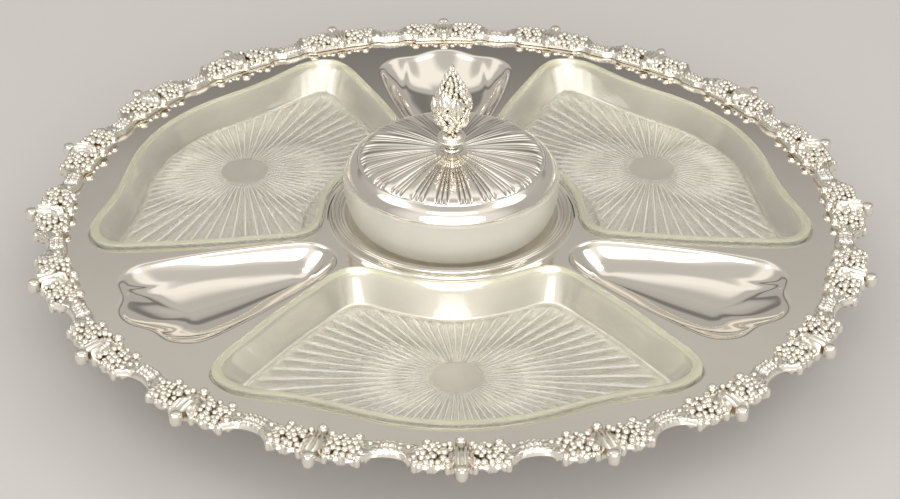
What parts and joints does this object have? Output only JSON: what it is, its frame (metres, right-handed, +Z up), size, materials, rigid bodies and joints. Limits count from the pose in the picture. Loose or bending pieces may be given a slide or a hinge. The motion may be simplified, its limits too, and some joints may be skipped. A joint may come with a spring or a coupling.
{
  "type": "lazy susan",
  "caption": "Round plated serving tray that turns on a ball bearing base, with lift-out glass liners, shell dishes, a cast grape border and a lidded glass bowl in the middle.",
  "frame": {"origin": "centre of the foot, on the surface that the object stands on", "axes": "+Z up along the turning axis, -Y towards the middle of the front glass liner, +X to the right seen from the front"},
  "size_m": [0.508, 0.508, 0.151],
  "materials": {
    "silver_plate": "polished silver plate with fine wear",
    "cast_silver": "cast silver plate, darker in its hollows",
    "pressed_glass": "clear pressed glass with a faint yellow-green cast",
    "bearing_steel": "plain steel",
    "brass_fittings": "plain brass"
  },
  "bodies": {
    "base": {"base_shell": "silver_plate", "lower_race": "bearing_steel", "lower_race_rivet_1": "brass_fittings", "lower_race_rivet_2": "brass_fittings", "lower_race_rivet_3": "brass_fittings", "thrust_washer": "brass_fittings"},
    "turntable": {"tray": "silver_plate", "border_casting": "cast_silver", "hub_plate": "bearing_steel", "upper_race": "bearing_steel", "upper_race_rivet_1": "brass_fittings", "upper_race_rivet_2": "brass_fittings", "upper_race_rivet_3": "brass_fittings", "pivot_stud": "bearing_steel", "spring_washer": "bearing_steel", "retaining_nut": "bearing_steel"},
    "cage": {"ball_cage": "brass_fittings", "ball_01": "bearing_steel", "ball_02": "bearing_steel", "ball_03": "bearing_steel", "ball_04": "bearing_steel", "ball_05": "bearing_steel", "ball_06": "bearing_steel", "ball_07": "bearing_steel", "ball_08": "bearing_steel", "ball_09": "bearing_steel", "ball_10": "bearing_steel", "ball_11": "bearing_steel", "ball_12": "bearing_steel"},
    "insert_front": {"glass_insert_front": "pressed_glass"},
    "insert_right": {"glass_insert_right": "pressed_glass"},
    "insert_left": {"glass_insert_left": "pressed_glass"},
    "bowl": {"glass_bowl": "pressed_glass"},
    "lid": {"lid": "silver_plate", "finial_collar": "silver_plate", "finial": "cast_silver", "finial_nut": "silver_plate"}
  },
  "joints": [
    {"name": "tray_spin", "type": "hinge", "parent": "base", "child": "turntable", "pos_m": [0, 0, 0.0395], "axis": [0, 0, 1], "continuous": true},
    {"name": "cage_spin", "type": "hinge", "parent": "base", "child": "cage", "pos_m": [0, 0, 0.0395], "axis": [0, 0, 1], "continuous": true},
    {"name": "insert_front_lift", "type": "slide", "parent": "turntable", "child": "insert_front", "axis": [0, 0, 1], "range_m": [0, 0.05]},
    {"name": "insert_right_lift", "type": "slide", "parent": "turntable", "child": "insert_right", "axis": [0, 0, 1], "range_m": [0, 0.05]},
    {"name": "insert_left_lift", "type": "slide", "parent": "turntable", "child": "insert_left", "axis": [0, 0, 1], "range_m": [0, 0.05]},
    {"name": "bowl_lift", "type": "slide", "parent": "turntable", "child": "bowl", "axis": [0, 0, 1], "range_m": [0, 0.06]},
    {"name": "lid_lift", "type": "slide", "parent": "bowl", "child": "lid", "axis": [0, 0, 1], "range_m": [0, 0.06]}
  ],
  "couplings": [
    {"joint": "cage_spin", "follows": "tray_spin", "ratio": 0.5}
  ]
}
